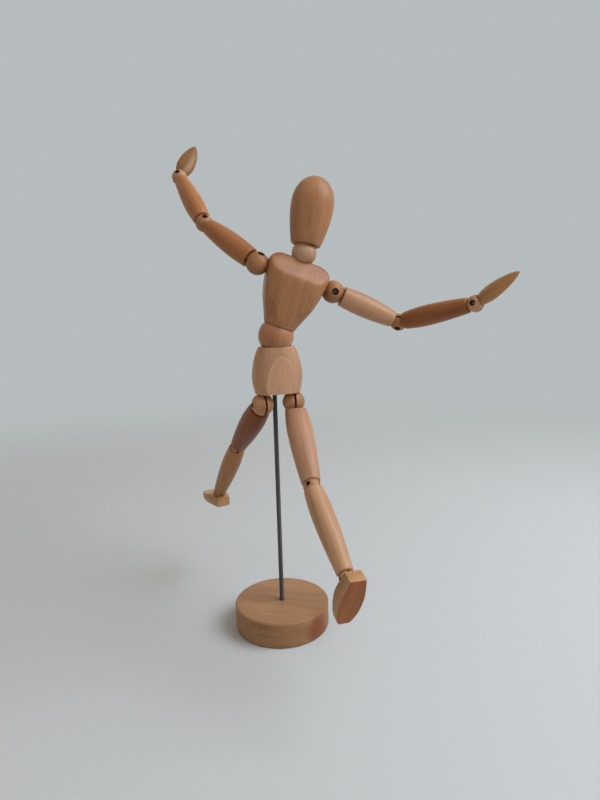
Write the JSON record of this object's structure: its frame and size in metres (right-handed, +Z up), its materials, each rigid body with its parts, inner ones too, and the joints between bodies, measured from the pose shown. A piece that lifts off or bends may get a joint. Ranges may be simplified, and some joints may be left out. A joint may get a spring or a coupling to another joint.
{
  "type": "artist_mannequin",
  "caption": "Jointed wooden artist mannequin in a running pose, carried on a steel rod above a round wooden base.",
  "frame": {"origin": "the middle of the base underside, under the rod", "axes": "+Z up along the rod; -Y the way the pelvis faces; +X towards the figure's left side"},
  "size_m": [0.1851, 0.2345, 0.3544],
  "materials": {
    "wood": "satin lacquer",
    "pale_wood": "satin lacquer",
    "steel": "drawn bright",
    "spring_steel": "drawn"
  },
  "bodies": {
    "stand": {"base": "pale_wood", "rod": "steel"},
    "pelvis_body": {"pelvis": "wood", "right_hip_spring": "spring_steel", "left_hip_spring": "spring_steel"},
    "waist_spring_body": {"waist_spring": "spring_steel"},
    "waist_ball_body": {"waist_ball": "wood"},
    "chest_body": {"chest": "wood", "spine_spring": "spring_steel", "right_shoulder_spring": "spring_steel", "left_shoulder_spring": "spring_steel"},
    "neck_ball_body": {"neck_ball": "wood"},
    "neck_spring_body": {"neck_spring": "spring_steel"},
    "head_body": {"head": "wood"},
    "right_shoulder_ball_body": {"right_shoulder_ball": "wood", "right_shoulder_pin": "steel"},
    "right_upper_arm_body": {"right_upper_arm": "wood", "right_upper_arm_spring": "spring_steel"},
    "right_elbow_ball_body": {"right_elbow_ball": "wood", "right_elbow_pin": "steel"},
    "right_forearm_body": {"right_forearm": "wood", "right_forearm_spring": "spring_steel"},
    "right_wrist_pin_body": {"right_wrist_pin": "steel"},
    "right_hand_body": {"right_wrist_ball": "wood", "right_hand": "wood"},
    "right_hip_ball_body": {"right_hip_ball": "wood", "right_hip_pin": "steel"},
    "right_thigh_body": {"right_thigh": "wood", "right_thigh_spring": "spring_steel"},
    "right_knee_ball_body": {"right_knee_ball": "wood", "right_knee_pin": "steel"},
    "right_shin_body": {"right_shin": "wood", "right_shin_spring": "spring_steel"},
    "right_ankle_pin_body": {"right_ankle_pin": "steel"},
    "right_foot_body": {"right_ankle_ball": "wood", "right_foot": "wood"},
    "left_shoulder_ball_body": {"left_shoulder_ball": "wood", "left_shoulder_pin": "steel"},
    "left_upper_arm_body": {"left_upper_arm": "wood", "left_upper_arm_spring": "spring_steel"},
    "left_elbow_ball_body": {"left_elbow_ball": "wood", "left_elbow_pin": "steel"},
    "left_forearm_body": {"left_forearm": "wood", "left_forearm_spring": "spring_steel"},
    "left_wrist_pin_body": {"left_wrist_pin": "steel"},
    "left_hand_body": {"left_wrist_ball": "wood", "left_hand": "wood"},
    "left_hip_ball_body": {"left_hip_ball": "wood", "left_hip_pin": "steel"},
    "left_thigh_body": {"left_thigh": "wood", "left_thigh_spring": "spring_steel"},
    "left_knee_ball_body": {"left_knee_ball": "wood", "left_knee_pin": "steel"},
    "left_shin_body": {"left_shin": "wood", "left_shin_spring": "spring_steel"},
    "left_ankle_pin_body": {"left_ankle_pin": "steel"},
    "left_foot_body": {"left_ankle_ball": "wood", "left_foot": "wood"}
  },
  "joints": [
    {"name": "pelvis_turn", "type": "hinge", "parent": "stand", "child": "pelvis_body", "pos_m": [0, 0, 0.1769], "axis": [0, 0, 1], "range_deg": [-90, 90]},
    {"name": "waist_turn", "type": "hinge", "parent": "pelvis_body", "child": "waist_spring_body", "pos_m": [0, -0.008, 0.2157], "axis": [0, 0, 1], "range_deg": [-50, 70]},
    {"name": "waist_side", "type": "hinge", "parent": "waist_spring_body", "child": "waist_ball_body", "pos_m": [0, -0.008, 0.2157], "axis": [0.1702, 0.9854, 0], "range_deg": [-50, 6]},
    {"name": "waist_bend", "type": "hinge", "parent": "waist_ball_body", "child": "chest_body", "pos_m": [0, -0.008, 0.2157], "axis": [0.9168, -0.1584, -0.3665], "range_deg": [-22, 28]},
    {"name": "neck_side", "type": "hinge", "parent": "chest_body", "child": "neck_ball_body", "pos_m": [0.02142, -0.00872, 0.2696], "axis": [0.1517, 0.9873, -0.0471], "range_deg": [-16, 34]},
    {"name": "neck_nod", "type": "hinge", "parent": "neck_ball_body", "child": "neck_spring_body", "pos_m": [0.02142, -0.00872, 0.2696], "axis": [0.9625, -0.1584, -0.22], "range_deg": [-25, 31]},
    {"name": "neck_turn", "type": "hinge", "parent": "neck_spring_body", "child": "head_body", "pos_m": [0.02142, -0.00872, 0.2696], "axis": [0.2328, 0.067, 0.9702], "range_deg": [-90, 90]},
    {"name": "right_shoulder_swivel", "type": "hinge", "parent": "chest_body", "child": "right_shoulder_ball_body", "pos_m": [-0.00987, -0.0042, 0.26358], "axis": [-0.9168, 0.1584, 0.3665], "range_deg": [-150, 30]},
    {"name": "right_shoulder_flex", "type": "hinge", "parent": "right_shoulder_ball_body", "child": "right_upper_arm_body", "pos_m": [-0.00987, -0.0042, 0.26358], "axis": [0.2384, -0.5192, 0.8207], "range_deg": [-35, 52]},
    {"name": "right_elbow_swivel", "type": "hinge", "parent": "right_upper_arm_body", "child": "right_elbow_ball_body", "pos_m": [-0.03751, 0.02845, 0.29226], "axis": [-0.5367, 0.6339, 0.5569], "range_deg": [-73, 107]},
    {"name": "right_elbow_flex", "type": "hinge", "parent": "right_elbow_ball_body", "child": "right_forearm_body", "pos_m": [-0.03751, 0.02845, 0.29226], "axis": [-0.0087, -0.6641, 0.7476], "range_deg": [-38, 39]},
    {"name": "right_wrist_swivel", "type": "hinge", "parent": "right_forearm_body", "child": "right_wrist_pin_body", "pos_m": [-0.04594, 0.06989, 0.32897], "axis": [-0.1505, 0.74, 0.6556], "range_deg": [-66, 114]},
    {"name": "right_wrist_flex", "type": "hinge", "parent": "right_wrist_pin_body", "child": "right_hand_body", "pos_m": [-0.04594, 0.06989, 0.32897], "axis": [-0.4131, -0.6495, 0.6383], "range_deg": [-21, 103]},
    {"name": "right_hip_swivel", "type": "hinge", "parent": "pelvis_body", "child": "right_hip_ball_body", "pos_m": [-0.0112, -0.008, 0.1695], "axis": [0, 0, -1], "range_deg": [-24, 14]},
    {"name": "right_hip_flex", "type": "hinge", "parent": "right_hip_ball_body", "child": "right_thigh_body", "pos_m": [-0.0112, -0.008, 0.1695], "axis": [0.9932, 0.1167, 0], "range_deg": [-32, 13]},
    {"name": "right_knee_swivel", "type": "hinge", "parent": "right_thigh_body", "child": "right_knee_ball_body", "pos_m": [-0.01748, 0.04544, 0.12792], "axis": [-0.0923, 0.7858, -0.6115], "range_deg": [-60, 44]},
    {"name": "right_knee_flex", "type": "hinge", "parent": "right_knee_ball_body", "child": "right_shin_body", "pos_m": [-0.01748, 0.04544, 0.12792], "axis": [0.9744, -0.0553, -0.2181], "range_deg": [-5, 63]},
    {"name": "right_ankle_swivel", "type": "hinge", "parent": "right_shin_body", "child": "right_ankle_pin_body", "pos_m": [-0.02619, 0.08557, 0.07883], "axis": [-0.1361, 0.6271, -0.7669], "range_deg": [-90, 90]},
    {"name": "right_ankle_flex", "type": "hinge", "parent": "right_ankle_pin_body", "child": "right_foot_body", "pos_m": [-0.02619, 0.08557, 0.07883], "axis": [-0.9738, -0.2269, -0.0127], "range_deg": [-74, 2]},
    {"name": "left_shoulder_swivel", "type": "hinge", "parent": "chest_body", "child": "left_shoulder_ball_body", "pos_m": [0.04001, -0.01282, 0.24364], "axis": [0.9168, -0.1584, -0.3665], "range_deg": [-90, 90]},
    {"name": "left_shoulder_flex", "type": "hinge", "parent": "left_shoulder_ball_body", "child": "left_upper_arm_body", "pos_m": [0.04001, -0.01282, 0.24364], "axis": [-0.1581, -0.9869, 0.0308], "range_deg": [-11, 76]},
    {"name": "left_elbow_swivel", "type": "hinge", "parent": "left_upper_arm_body", "child": "left_elbow_ball_body", "pos_m": [0.08583, -0.02085, 0.22156], "axis": [0.8898, -0.156, -0.4289], "range_deg": [-147, 33]},
    {"name": "left_elbow_flex", "type": "hinge", "parent": "left_elbow_ball_body", "child": "left_forearm_body", "pos_m": [0.08583, -0.02085, 0.22156], "axis": [-0.4448, -0.5066, -0.7386], "range_deg": [-74, 4]},
    {"name": "left_wrist_swivel", "type": "hinge", "parent": "left_forearm_body", "child": "left_wrist_pin_body", "pos_m": [0.11653, -0.06599, 0.23403], "axis": [0.5483, -0.8061, 0.2228], "range_deg": [-33, 147]},
    {"name": "left_wrist_flex", "type": "hinge", "parent": "left_wrist_pin_body", "child": "left_hand_body", "pos_m": [0.11653, -0.06599, 0.23403], "axis": [-0.8363, -0.5315, 0.1348], "range_deg": [-85, 39]},
    {"name": "left_hip_swivel", "type": "hinge", "parent": "pelvis_body", "child": "left_hip_ball_body", "pos_m": [0.0112, -0.008, 0.1695], "axis": [0, 0, -1], "range_deg": [-37, 23]},
    {"name": "left_hip_flex", "type": "hinge", "parent": "left_hip_ball_body", "child": "left_thigh_body", "pos_m": [0.0112, -0.008, 0.1695], "axis": [0.9917, -0.1288, 0], "range_deg": [-21, 60]},
    {"name": "left_knee_swivel", "type": "hinge", "parent": "left_thigh_body", "child": "left_knee_ball_body", "pos_m": [0.0046, -0.05882, 0.1248], "axis": [-0.0971, -0.7473, -0.6574], "range_deg": [-6, 114]},
    {"name": "left_knee_flex", "type": "hinge", "parent": "left_knee_ball_body", "child": "left_shin_body", "pos_m": [0.0046, -0.05882, 0.1248], "axis": [0.6461, 0.4551, -0.6127], "range_deg": [-10, 58]},
    {"name": "left_ankle_swivel", "type": "hinge", "parent": "left_shin_body", "child": "left_ankle_pin_body", "pos_m": [0.00545, -0.11061, 0.08722], "axis": [0.0132, -0.8094, -0.5872], "range_deg": [-62, 118]},
    {"name": "left_ankle_flex", "type": "hinge", "parent": "left_ankle_pin_body", "child": "left_foot_body", "pos_m": [0.00545, -0.11061, 0.08722], "axis": [-0.9908, -0.0898, 0.1014], "range_deg": [-53, 23]}
  ]
}
